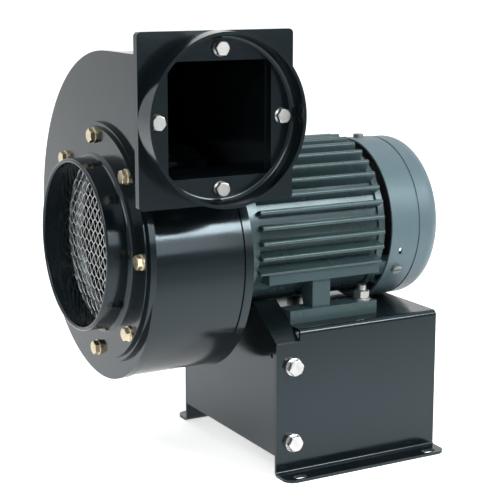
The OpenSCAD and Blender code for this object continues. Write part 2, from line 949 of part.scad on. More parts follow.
module cooling_fan() {
    color([0.12, 0.13, 0.13]) along_axis(fan_x0, fan_w) difference() {
        union() {
            circle(fan_hub_r);
            for (i = [0:fan_blade_n - 1]) rotate(i * 360 / fan_blade_n)
                translate([0, -fan_disc_t / 2]) square([fan_r, fan_disc_t]);
        }
        circle(drive_r);
    }
    color([0.12, 0.13, 0.13]) along_axis(fan_x0, fan_disc_t) ring2d(fan_r, drive_r);
}

// ---------- motor ----------

// Heights here are taken from the shaft axis
module foot_section2d() {
    translate([foot_y0, ped_h - axis_z]) square([foot_y1 - foot_y0, foot_t]);
}

module leg_section2d() {
    z0 = ped_h - axis_z + foot_t - eps;
    y0 = foot_y0 - 8;
    polygon([[foot_y0, z0], [leg_y, z0], [leg_y, ledge_z0 + past], [y0, ledge_z0 + past]]);
}

module ledge_section2d() {
    translate([foot_y0 - 4, ledge_z0]) square([ledge_y - foot_y0 + 4, ledge_z1 - ledge_z0]);
}

module fin2d() {
    r0 = fin_root_r - past;
    polygon([[r0, -fin_root_t / 2], [fin_tip_r, -fin_tip_t / 2],
        [fin_tip_r, fin_tip_t / 2], [r0, fin_root_t / 2]]);
}

module motor_frame() {
    fin_step = 360 / fin_n;
    fins_up = floor((180 - 2 * fin_a0) / fin_step);
    color([0.16, 0.24, 0.24]) difference() {
        union() {
            along_axis(frame_x0, frame_l) {
                circle(fin_root_r);
                for (i = [0:fins_up]) rotate(fin_a0 + i * fin_step) fin2d();
            }
            both_sides() {
                along_axis(foot_x0, foot_l) foot_section2d();
                along_axis(leg_x0, leg_w) leg_section2d();
                along_axis(frame_x0 + ledge_in, frame_l - ledge_in) ledge_section2d();
            }
            translate([box_x0 + pad_in, 0, axis_z + box_z - box_h / 2 + pad_in])
                cube([box_l - 2 * pad_in, pad_y, box_h - 2 * pad_in]);
        }
        translate([frame_x0, 0, axis_z]) rotate([0, 90, 0]) hole(bore_r, frame_l);
        at_foot_bolts(foot_through_x, ped_h) hole(m8_r + play, foot_t);
        at_foot_bolts(foot_tapped_x, ped_h - past)
            cylinder(h = past + foot_t - foot_tap_roof, r = m8_r + fit);
        for (x = [frame_x0, frame_x1]) at_shield_screws(x)
            translate([0, 0, -shield_screw_in - past])
                cylinder(h = 2 * (shield_screw_in + past), r = m5_r + fit);
    }
}

// Screws that hold the two shields to the frame, local +Z to -X
module at_shield_screws(x) {
    for (a = [45:90:315]) round_axis(x, shield_bolt_r, a) children();
}

module shield_screws() {
    color([0.7, 0.7, 0.68]) {
        at_shield_screws(frame_x0 - shield_rim_l)
            hex_bolt(m5_r, shield_rim_l + shield_screw_in, m5_af, m5_head);
        at_shield_screws(frame_x1 + rear_shield_t) rotate([180, 0, 0])
            hex_bolt(m5_r, rear_shield_t + shield_screw_in, m5_af, m5_head);
    }
}

module drive_shield() {
    color([0.15, 0.22, 0.22]) difference() {
        turned() difference() {
            union() {
                translate([0, scroll_x1]) square([shield_neck_r, shield_l]);
                translate([0, frame_x0 - shield_rim_l]) square([drive_shield_r, shield_rim_l]);
                translate([0, frame_x0 - eps]) square([bore_r - fit, spigot_l]);
            }
            translate([shield_hub_r, scroll_x1 + shield_wall])
                square([bore_r - shield_wall - shield_hub_r, shield_l + spigot_l]);
            translate([0, front_bearing_x + bearing_w + 2])
                square([bore_r - shield_wall, shield_l + spigot_l]);
            translate([0, scroll_x1 - past]) square([journal_r + past, shield_l + 2 * past]);
            translate([0, scroll_x1 - past]) square([seal_r, seal_t + past]);
            translate([0, front_bearing_x]) square([bearing_r, shield_l]);
        }
        at_shield_screws(frame_x0) hole(m5_r + fit, shield_rim_l);
        at_scroll_screws(scroll_x1) translate([0, 0, -scroll_screw_l - past])
            cylinder(h = scroll_screw_l + 2 * past, r = m6_r + fit);
    }
}

module rear_shield() {
    color([0.15, 0.22, 0.22]) difference() {
        union() {
            turned() {
                translate([0, frame_x1]) square([rear_shield_r, rear_shield_t]);
                translate([0, rear_bearing_x - past])
                    square([shield_hub_r, pocket_end_x + 3 - rear_bearing_x + past]);
                translate([bore_r - shield_wall, frame_x1 - spigot_l])
                    square([shield_wall - fit, spigot_l + past]);
            }
            for (a = cowl_screw_a) along_axis(frame_x1, cowl_x0 + lug_l - frame_x1)
                intersection() {
                    ring2d(lug_r, lug_r - lug_t);
                    rotate(180 - a) translate([0, -lug_w / 2]) square([lug_r + past, lug_w]);
                }
        }
        turned() {
            translate([0, rear_bearing_x - 2 * past])
                square([bearing_r, pocket_end_x - rear_bearing_x + 2 * past]);
            translate([0, pocket_end_x - past]) square([journal_r + past, 4 + past]);
        }
        at_shield_screws(frame_x1 + rear_shield_t) hole(m5_r + fit, rear_shield_t);
        at_cowl_screws(lug_r) translate([0, 0, -cowl_screw_l])
            cylinder(h = 2 * cowl_screw_l, r = m5_r + fit);
    }
}

module stator_core() {
    color([0.5, 0.5, 0.52]) along_axis(stator_x0, stator_l)
        ring2d(bore_r, rotor_r + air_gap);
}

module stator_winding() {
    color([0.55, 0.3, 0.14]) {
        along_axis(stator_x0 - winding_l, winding_l) ring2d(winding_r, rotor_r + 4);
        along_axis(stator_x0 + stator_l, winding_l) ring2d(winding_r, rotor_r + 4);
    }
}

module shaft_seal() {
    color([0.1, 0.1, 0.1]) along_axis(scroll_x1, seal_t) ring2d(seal_r - fit, drive_r + 0.1);
}

// ---------- fan cowl ----------

// Screws round the cowl, local +Z outwards
module at_cowl_screws(r) {
    for (a = cowl_screw_a) radially(cowl_screw_x, r, a) children();
}

// Half section of the cowl's outside moved inwards by d, with its rolled groove
module cowl_outside2d(d) {
    r2 = cowl_r - cowl_step - d;
    x2 = cowl_x1 - d;
    c = cowl_corner_r - d;
    translate([0, cowl_x0 - 2 * d]) square([cowl_r - d, cowl_step_x - cowl_x0 + d]);
    translate([0, cowl_x0]) square([cowl_r - cowl_groove_d - d, cowl_l / 2 + cowl_groove_w]);
    translate([0, cowl_step_x + cowl_groove_w + d])
        square([r2, x2 - c - cowl_step_x - cowl_groove_w - d]);
    translate([0, cowl_step_x]) square([r2 - c, x2 - cowl_step_x]);
    translate([r2 - c, x2 - c]) circle(c);
}

// Rings of slots in the cowl's rear wall
module grille2d() {
    difference() {
        for (i = [0:grille_ring_n - 1])
            ring2d(grille_r0 + i * grille_pitch + grille_slot, grille_r0 + i * grille_pitch);
        for (a = [0:360 / grille_spoke_n:359]) rotate(a)
            translate([0, -grille_spoke / 2]) square([cowl_r, grille_spoke]);
    }
}

module fan_cowl() {
    color([0.15, 0.22, 0.22]) difference() {
        turned() difference() {
            cowl_outside2d(0);
            cowl_outside2d(cowl_t);
        }
        along_axis(cowl_x1 - 2 * cowl_t, 3 * cowl_t) grille2d();
        at_cowl_screws(cowl_r - cowl_t) hole(m5_r + play / 2, cowl_t);
        radially(cowl_screw_x, cowl_r - cowl_t - past, notch_a)
            translate([-1.5, -notch_w / 2, 0]) cube([3, notch_w, cowl_t + 2 * past]);
    }
}

module cowl_screws() {
    color([0.5, 0.52, 0.52]) at_cowl_screws(cowl_r)
        pan_screw(m5_r, cowl_screw_l, m5_head_r, m5_head);
}

// ---------- foot bolts ----------

// All four come up through the pedestal's top plate: two run into tapped blind holes
// near the end plate, where no spanner reaches, and two through the feet into nuts
module foot_bolts() {
    head_z = ped_h - ped_t - m8_washer_t;
    grip = m8_washer_t + ped_t + foot_t;
    color([0.8, 0.8, 0.78]) {
        at_foot_bolts(foot_tapped_x, head_z) rotate([180, 0, 0])
            hex_bolt(m8_r, grip - foot_tap_roof - past, m8_af, m8_head);
        at_foot_bolts(foot_through_x, head_z) rotate([180, 0, 0])
            hex_bolt(m8_r, grip + m8_washer_t + m8_nut + foot_thread_l, m8_af, m8_head);
    }
}

module foot_washers() {
    color([0.82, 0.82, 0.8]) {
        for (x = [foot_tapped_x, foot_through_x])
            at_foot_bolts(x, ped_h - ped_t - m8_washer_t)
                washer(m8_washer_r, m8_r + fit, m8_washer_t);
        at_foot_bolts(foot_through_x, ped_h + foot_t) washer(m8_washer_r, m8_r + fit, m8_washer_t);
    }
}

module foot_nuts() {
    color([0.8, 0.8, 0.78]) at_foot_bolts(foot_through_x, ped_h + foot_t + m8_washer_t)
        hex_nut(m8_r, m8_af, m8_nut);
}

// ---------- terminal box ----------

// Places children on the pad, local x along the shaft, y up, +Z outwards
module on_pad(y) {
    translate([(box_x0 + box_x1) / 2, y, axis_z + box_z]) rotate([90, 0, 180])
        children();
}

module at_box_corners() {
    for (sx = [-1, 1], sz = [-1, 1])
        translate([sx * (box_l / 2 - box_screw_in), sz * (box_h / 2 - box_screw_in), 0]) children();
}

module terminal_box() {
    color([0.15, 0.22, 0.22]) difference() {
        on_pad(pad_y) difference() {
            linear_extrude(height = box_d) rounded2d(box_l, box_h, box_wall);
            difference() {
                translate([0, 0, box_wall]) linear_extrude(height = box_d)
                    square([box_l - 2 * box_wall, box_h - 2 * box_wall], center = true);
                at_box_corners() cylinder(h = box_d, r = box_post_r);
            }
            at_box_corners() translate([0, 0, box_d - lid_screw_l])
                cylinder(h = lid_screw_l + past, r = m5_r + fit);
        }
        at_entry() translate([0, 0, -box_wall - past])
            cylinder(h = box_wall + 2 * past, r = entry_r + fit);
    }
}

// Places children on the cable entry in the box's end wall, local +Z to +X
module at_entry() {
    translate([box_x1, pad_y + box_d / 2, axis_z + box_z - entry_low]) rotate([0, 90, 0])
        children();
}

module terminal_lid() {
    color([0.15, 0.22, 0.22]) on_pad(pad_y + box_d) difference() {
        linear_extrude(height = lid_t) rounded2d(box_l, box_h, box_wall);
        at_box_corners() hole(m5_r + play / 2, lid_t);
    }
}

module lid_screws() {
    color([0.7, 0.7, 0.68]) on_pad(pad_y + box_d + lid_t) at_box_corners()
        pan_screw(m5_r, lid_screw_l, m5_head_r, m5_head);
}

module terminal_block() {
    color([0.3, 0.16, 0.08]) on_pad(pad_y + box_wall) {
        linear_extrude(height = block_t) square([block_l, block_w], center = true);
        for (sx = [-1:1], sy = [-1, 1])
            translate([block_pitch_x * sx, block_pitch_y * sy / 2, 0])
                cylinder(h = block_stud_l, r = block_stud_r);
    }
}

module cable_bush() {
    color([0.1, 0.1, 0.1]) at_entry() difference() {
        union() {
            cylinder(h = bush_flange_t, r = entry_r + bush_lip);
            translate([0, 0, -box_wall - bush_grip])
                cylinder(h = bush_grip + box_wall + past, r = entry_r);
        }
        translate([0, 0, -box_wall - bush_grip - past])
            cylinder(h = bush_flange_t + box_wall + bush_grip + 2 * past, r = entry_bore);
    }
}

pedestal();
end_plate();
side_bolts();
side_washers();
side_nuts();
scroll_front_plate();
scroll_wrapper();
scroll_back_plate();
scroll_screws();
outlet_flange();
outlet_collar();
outlet_bolts();
outlet_nuts();
inlet_spacer();
inlet_collar();
inlet_bolts();
inlet_washers();
guard_front_wires();
guard_rear_wires();
guard_ring();
inlet_cone();
impeller_hub();
impeller_disc();
impeller_blades();
impeller_shroud();
impeller_bolt();
impeller_washer();
shaft();
shaft_key();
rotor_core();
front_inner_ring();
rear_inner_ring();
front_balls();
rear_balls();
front_outer_ring();
rear_outer_ring();
spring_washer();
cooling_fan();
motor_frame();
drive_shield();
rear_shield();
stator_core();
stator_winding();
shaft_seal();
shield_screws();
fan_cowl();
cowl_screws();
foot_bolts();
foot_washers();
foot_nuts();
terminal_box();
terminal_lid();
lid_screws();
terminal_block();
cable_bush();
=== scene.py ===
import json
import math

import bpy
import bmesh
from mathutils import Matrix, Vector


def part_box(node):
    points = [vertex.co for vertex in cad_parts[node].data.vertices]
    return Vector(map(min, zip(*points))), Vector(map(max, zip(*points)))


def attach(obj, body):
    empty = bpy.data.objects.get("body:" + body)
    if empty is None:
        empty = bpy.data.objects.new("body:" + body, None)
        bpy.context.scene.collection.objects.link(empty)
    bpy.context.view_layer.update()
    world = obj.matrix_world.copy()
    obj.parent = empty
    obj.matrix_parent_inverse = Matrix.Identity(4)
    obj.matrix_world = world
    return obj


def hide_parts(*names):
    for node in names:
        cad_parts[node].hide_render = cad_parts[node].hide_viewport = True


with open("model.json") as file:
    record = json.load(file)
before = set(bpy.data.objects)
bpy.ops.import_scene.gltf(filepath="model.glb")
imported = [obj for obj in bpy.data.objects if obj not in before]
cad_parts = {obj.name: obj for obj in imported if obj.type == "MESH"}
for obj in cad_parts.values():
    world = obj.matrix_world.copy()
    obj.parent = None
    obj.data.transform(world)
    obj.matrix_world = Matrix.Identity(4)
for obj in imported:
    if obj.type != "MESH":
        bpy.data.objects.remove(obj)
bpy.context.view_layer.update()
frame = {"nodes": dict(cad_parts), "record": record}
NODES = frame["nodes"]
SLOT_OF = {part["node"]: part["material_slot"] for part in frame["record"]["subparts"]}
MM = 0.001

# Where things are, read from the frame
COLLAR_LOW, COLLAR_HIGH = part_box("inlet_collar")
AXIS_Z = (COLLAR_LOW.z + COLLAR_HIGH.z) / 2
GUARD_LOW, GUARD_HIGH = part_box("guard_front_wires")
GUARD_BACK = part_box("guard_rear_wires")[1].x

# The studio
CAMERA_PLACE = (-0.6212, -1.0153, 0.4092)
CAMERA_TURN = math.radians(-28.96)
CAMERA_DIP = math.radians(11.49)
WORLD_LIGHT = 0.5
FLOOR_PALE = 0.93
FLOOR_LIFT = 0.6
REFLECTION_SHADE_FROM = -0.15  # where the floor begins to show darker in mirrors, along Y: painted shade in the reflections
REFLECTION_SHADE_TO = -0.7


# ---------- camera, floor and light ----------

def make_camera():
    """A long lens from the left front, a little above the blower."""
    data = bpy.data.cameras.new("camera")
    data.lens = 100
    data.sensor_width = 36
    data.shift_x = 0.004
    data.clip_end = 50
    camera = bpy.data.objects.new("camera", data)
    bpy.context.scene.collection.objects.link(camera)
    camera.location = CAMERA_PLACE
    camera.rotation_euler = (math.pi / 2 - CAMERA_DIP, 0, CAMERA_TURN)
    bpy.context.scene.camera = camera
    bpy.context.scene.view_settings.view_transform = "Standard"


def add_node(tree, kind, **inputs):
    """A shader node with its inputs set: Noise_Scale=3 sets the input Noise Scale."""
    node = tree.nodes.new(kind)
    for name, value in inputs.items():
        node.inputs[name.replace("_", " ")].default_value = value
    return node


def combine(tree, operation, first, second):
    """A math node on two sockets or plain values."""
    node = tree.nodes.new("ShaderNodeMath")
    node.operation = operation
    for socket, value in ((node.inputs[0], first), (node.inputs[1], second)):
        if isinstance(value, bpy.types.NodeSocket):
            tree.links.new(value, socket)
        else:
            socket.default_value = value
    return node.outputs[0]


def mirrored(tree, path):
    """1 for rays from mirrors and glass."""
    return combine(tree, "MAXIMUM", path.outputs["Is Glossy Ray"], path.outputs["Is Transmission Ray"])


def seen_or_mirrored(tree):
    """1 for what the camera sees directly, in a mirror or through glass, and 0 for light."""
    path = tree.nodes.new("ShaderNodeLightPath")
    return combine(tree, "MAXIMUM", path.outputs["Is Camera Ray"], mirrored(tree, path))


def painted_reflection_shade(tree, towards, near, far, dimmed):
    """1, but less in mirrors in front of the outlet, as painted shade in the reflections there.

    There it falls to dimmed as the Y of the vector socket towards goes from near to far.
    """
    path = tree.nodes.new("ShaderNodeLightPath")
    split = tree.nodes.new("ShaderNodeSeparateXYZ")
    tree.links.new(towards, split.inputs["Vector"])
    fall = tree.nodes.new("ShaderNodeMapRange")
    fall.interpolation_type = "SMOOTHSTEP"
    for name, value in (("From Min", near), ("From Max", far), ("To Min", 0.0), ("To Max", 1 - dimmed)):
        fall.inputs[name].default_value = value
    tree.links.new(split.outputs["Y"], fall.inputs["Value"])
    return combine(tree, "SUBTRACT", 1.0,
                   combine(tree, "MULTIPLY", mirrored(tree, path), fall.outputs["Result"]))


def make_world():
    """Even white surroundings, at full white only where they are seen or mirrored, and mirrored dimmer
    in front of the outlet as painted shade in reflections.
    """
    world = bpy.data.worlds.new("studio")
    bpy.context.scene.world = world
    world.use_nodes = True
    tree = world.node_tree
    background = tree.nodes["Background"]
    background.inputs["Color"].default_value = (1, 1, 1, 1)
    strength = tree.nodes.new("ShaderNodeMapRange")
    strength.inputs["To Min"].default_value = WORLD_LIGHT
    strength.inputs["To Max"].default_value = 1.0
    tree.links.new(seen_or_mirrored(tree), strength.inputs["Value"])
    place = tree.nodes.new("ShaderNodeTexCoord")
    # Mirrored less brightly in front of the outlet: painted shade in reflections
    dim = painted_reflection_shade(tree, place.outputs["Generated"], -0.2, -0.8, 0.4)
    tree.links.new(combine(tree, "MULTIPLY", strength.outputs["Result"], dim),
                   background.inputs["Strength"])


def make_lamp(name, place, aim, size, power):
    """A soft panel at a place, turned to what it is aimed at."""
    data = bpy.data.lights.new(name, "AREA")
    data.shape = "RECTANGLE"
    data.size, data.size_y = size
    data.energy = power
    lamp = bpy.data.objects.new(name, data)
    bpy.context.scene.collection.objects.link(lamp)
    lamp.location = place
    lamp.rotation_euler = (Vector(aim) - Vector(place)).to_track_quat("-Z", "Y").to_euler()


def make_floor():
    """A wide pale floor that turns up into a backdrop far behind."""
    mesh = bpy.data.meshes.new("floor")
    half, back, rise, steps = 6.0, 5.0, 1.5, 12
    line = [(-half, 0.0), (back - rise, 0.0)]
    for i in range(1, steps + 1):
        turn = math.pi / 2 * i / steps
        line.append((back - rise + rise * math.sin(turn), rise - rise * math.cos(turn)))
    line.append((back, 5.0))
    verts = [(x, y, z) for y, z in line for x in (-half, half)]
    faces = [(2 * i, 2 * i + 1, 2 * i + 3, 2 * i + 2) for i in range(len(line) - 1)]
    mesh.from_pydata(verts, [], faces)
    floor = bpy.data.objects.new("floor", mesh)
    bpy.context.scene.collection.objects.link(floor)
    floor.rotation_euler = (0, 0, CAMERA_TURN)
    for face in mesh.polygons:
        face.use_smooth = True
    material = bpy.data.materials.new("pale_floor")
    material.use_nodes = True
    tree = material.node_tree
    shader = tree.nodes["Principled BSDF"]
    shader.inputs["Roughness"].default_value = 0.9
    shader.inputs["Specular IOR Level"].default_value = 0.2
    shader.inputs["Emission Color"].default_value = (1, 1, 1, 1)
    lift = tree.nodes.new("ShaderNodeMapRange")
    lift.inputs["To Min"].default_value = 0.0
    lift.inputs["To Max"].default_value = FLOOR_LIFT
    tree.links.new(seen_or_mirrored(tree), lift.inputs["Value"])
    place = tree.nodes.new("ShaderNodeNewGeometry")
    # In mirrors the floor in front of the outlet is dimmer in colour and glow: painted shade in its
    # reflections
    dim = painted_reflection_shade(tree, place.outputs["Position"], REFLECTION_SHADE_FROM, REFLECTION_SHADE_TO, 0.3)
    tree.links.new(combine(tree, "MULTIPLY", lift.outputs["Result"], dim),
                   shader.inputs["Emission Strength"])
    pale = tree.nodes.new("ShaderNodeCombineColor")
    for channel in pale.inputs:
        tree.links.new(combine(tree, "MULTIPLY", dim, FLOOR_PALE), channel)
    tree.links.new(pale.outputs["Color"], shader.inputs["Base Color"])
    mesh.materials.append(material)


make_camera()
make_world()
make_floor()
make_lamp("key_panel", (-1.6, -1.5, 2.0), (-0.05, 0, 0.2), (1.4, 1.4), 24)
make_lamp("top_panel", (0.2, 0.4, 2.4), (0, 0, 0.15), (1.8, 1.8), 22)
make_lamp("side_panel", (2.0, -1.2, 1.2), (0, 0, 0.2), (1.0, 1.4), 12)
make_lamp("front_strip", (0.62, -1.2, 0.95), (-0.15, -0.1, 0.24), (0.7, 0.35), 15)
make_lamp("flange_card", (0.33, -1.3, 0.53), (-0.19, -0.12, 0.4), (0.4, 0.35), 1.3)


# ---------- shader groups ----------

def start_group(name, inputs, outputs):
    """A shader group with its named sockets, and its input and output nodes."""
    tree = bpy.data.node_groups.new(name, "ShaderNodeTree")
    for label, kind, value in inputs:
        socket = tree.interface.new_socket(name=label, in_out="INPUT", socket_type=kind)
        socket.default_value = value
    for label, kind in outputs:
        tree.interface.new_socket(name=label, in_out="OUTPUT", socket_type=kind)
    return tree, tree.nodes.new("NodeGroupInput"), tree.nodes.new("NodeGroupOutput")


def mix_colour(tree, factor, first, second, blend="MIX"):
    """A colour mix whose factor and colours are sockets or plain values."""
    node = tree.nodes.new("ShaderNodeMix")
    node.data_type = "RGBA"
    node.blend_type = blend
    for socket, value in ((node.inputs[0], factor), (node.inputs[6], first), (node.inputs[7], second)):
        if isinstance(value, bpy.types.NodeSocket):
            tree.links.new(value, socket)
        else:
            socket.default_value = value
    return node.outputs[2]


def spread(tree, source, low, high, low_in=0.3, high_in=0.7):
    """Maps a noise value to the range from low to high, which may be sockets."""
    node = add_node(tree, "ShaderNodeMapRange", From_Min=low_in, From_Max=high_in)
    tree.links.new(source, node.inputs["Value"])
    for name, value in (("To Min", low), ("To Max", high)):
        if isinstance(value, bpy.types.NodeSocket):
            tree.links.new(value, node.inputs[name])
        else:
            node.inputs[name].default_value = value
    return node.outputs["Result"]


def noise(tree, scale, detail=3.0, stretch=None):
    """Noise in the piece's own metres, stretched along an axis where asked."""
    place = tree.nodes.new("ShaderNodeTexCoord")
    texture = add_node(tree, "ShaderNodeTexNoise", Detail=detail)
    if isinstance(scale, bpy.types.NodeSocket):
        tree.links.new(scale, texture.inputs["Scale"])
    else:
        texture.inputs["Scale"].default_value = scale
    if stretch:
        mapping = add_node(tree, "ShaderNodeMapping", Scale=stretch)
        tree.links.new(place.outputs["Object"], mapping.inputs["Vector"])
        tree.links.new(mapping.outputs["Vector"], texture.inputs["Vector"])
    else:
        tree.links.new(place.outputs["Object"], texture.inputs["Vector"])
    return texture.outputs["Fac"]


def build_enamel_skin():
    """Sprayed enamel: a slight orange peel, hazy patches, fine dust and faint rub marks."""
    tree, given, out = start_group(
        "enamel_skin",
        [("Color", "NodeSocketColor", (0.02, 0.02, 0.02, 1)),
         ("Dust Color", "NodeSocketColor", (0.2, 0.2, 0.2, 1)),
         ("Dust", "NodeSocketFloat", 0.05),
         ("Smooth", "NodeSocketFloat", 0.12),
         ("Hazy", "NodeSocketFloat", 0.24),
         ("Peel Scale", "NodeSocketFloat", 900.0)],
        [("Color", "NodeSocketColor"), ("Roughness", "NodeSocketFloat"), ("Height", "NodeSocketFloat")])
    patches = noise(tree, 14.0, 4.0)
    rubs = noise(tree, 60.0, 6.0, (1, 1, 8))
    specks = noise(tree, 2600.0, 1.0)
    dusty = tree.nodes.new("ShaderNodeMath")
    dusty.operation = "MULTIPLY"
    tree.links.new(spread(tree, specks, 0.0, 1.0, 0.62, 0.72), dusty.inputs[0])
    tree.links.new(given.outputs["Dust"], dusty.inputs[1])
    tree.links.new(mix_colour(tree, dusty.outputs[0], given.outputs["Color"],
                              given.outputs["Dust Color"]), out.inputs["Color"])
    hazy = spread(tree, patches, given.outputs["Smooth"], given.outputs["Hazy"])
    rubbed = tree.nodes.new("ShaderNodeMath")
    rubbed.operation = "ADD"
    tree.links.new(hazy, rubbed.inputs[0])
    tree.links.new(spread(tree, rubs, 0.0, 0.05, 0.5, 0.8), rubbed.inputs[1])
    tree.links.new(rubbed.outputs[0], out.inputs["Roughness"])
    tree.links.new(noise(tree, given.outputs["Peel Scale"], 2.0), out.inputs["Height"])
    return tree


def build_cast_skin():
    """Painted casting: sandy grain under the paint, uneven sheen, dust lying in the grain."""
    tree, given, out = start_group(
        "cast_skin",
        [("Color", "NodeSocketColor", (0.03, 0.05, 0.05, 1)),
         ("Dust Color", "NodeSocketColor", (0.2, 0.22, 0.21, 1)),
         ("Dust", "NodeSocketFloat", 0.12),
         ("Smooth", "NodeSocketFloat", 0.3),
         ("Hazy", "NodeSocketFloat", 0.45),
         ("Grain Scale", "NodeSocketFloat", 500.0)],
        [("Color", "NodeSocketColor"), ("Roughness", "NodeSocketFloat"), ("Height", "NodeSocketFloat")])
    grain = noise(tree, given.outputs["Grain Scale"], 3.0)
    patches = noise(tree, 22.0, 4.0)
    dusty = tree.nodes.new("ShaderNodeMath")
    dusty.operation = "MULTIPLY"
    tree.links.new(spread(tree, grain, 1.0, 0.0, 0.3, 0.55), dusty.inputs[0])
    tree.links.new(given.outputs["Dust"], dusty.inputs[1])
    shaded = mix_colour(tree, spread(tree, patches, 0.0, 0.25), given.outputs["Color"],
                        (0.5, 0.5, 0.5, 1), "MULTIPLY")
    tree.links.new(mix_colour(tree, dusty.outputs[0], shaded, given.outputs["Dust Color"]),
                   out.inputs["Color"])
    tree.links.new(spread(tree, patches, given.outputs["Smooth"], given.outputs["Hazy"]),
                   out.inputs["Roughness"])
    tree.links.new(grain, out.inputs["Height"])
    return tree


def build_worked_metal():
    """Bare or plated metal: fine drawn lines, cloudy plating and dull spots."""
    tree, given, out = start_group(
        "worked_metal",
        [("Color", "NodeSocketColor", (0.7, 0.7, 0.7, 1)),
         ("Cloud Color", "NodeSocketColor", (0.5, 0.5, 0.5, 1)),
         ("Cloud", "NodeSocketFloat", 0.5),
         ("Smooth", "NodeSocketFloat", 0.2),
         ("Dull", "NodeSocketFloat", 0.4),
         ("Line Scale", "NodeSocketFloat", 300.0)],
        [("Color", "NodeSocketColor"), ("Roughness", "NodeSocketFloat"), ("Height", "NodeSocketFloat")])
    clouds = noise(tree, 180.0, 4.0)
    lines = noise(tree, given.outputs["Line Scale"], 2.0, (1, 1, 18))
    cloudy = tree.nodes.new("ShaderNodeMath")
    cloudy.operation = "MULTIPLY"
    tree.links.new(spread(tree, clouds, 0.0, 1.0), cloudy.inputs[0])
    tree.links.new(given.outputs["Cloud"], cloudy.inputs[1])
    tree.links.new(mix_colour(tree, cloudy.outputs[0], given.outputs["Color"],
                              given.outputs["Cloud Color"]), out.inputs["Color"])
    tree.links.new(spread(tree, clouds, given.outputs["Smooth"], given.outputs["Dull"]),
                   out.inputs["Roughness"])
    tree.links.new(lines, out.inputs["Height"])
    return tree


SKINS = {
    "enamel": build_enamel_skin(),
    "cast": build_cast_skin(),
    "metal": build_worked_metal(),
}


# ---------- materials ----------

def make_material(name, skin, relief, depth, metallic=0.0, tint=(1, 1, 1), **values):
    """A Principled shader fed by one of the skins, with the skin's relief as its bump."""
    material = bpy.data.materials.new(name)
    material.use_nodes = True
    tree = material.node_tree
    shader = tree.nodes["Principled BSDF"]
    shader.inputs["Metallic"].default_value = metallic
    shader.inputs["Specular Tint"].default_value = (*tint, 1)
    surface = tree.nodes.new("ShaderNodeGroup")
    surface.node_tree = SKINS[skin]
    for label, value in values.items():
        surface.inputs[label.replace("_", " ")].default_value = value
    bump = add_node(tree, "ShaderNodeBump", Strength=relief, Distance=depth)
    tree.links.new(surface.outputs["Color"], shader.inputs["Base Color"])
    tree.links.new(surface.outputs["Roughness"], shader.inputs["Roughness"])
    tree.links.new(surface.outputs["Height"], bump.inputs["Height"])
    tree.links.new(bump.outputs["Normal"], shader.inputs["Normal"])
    return material


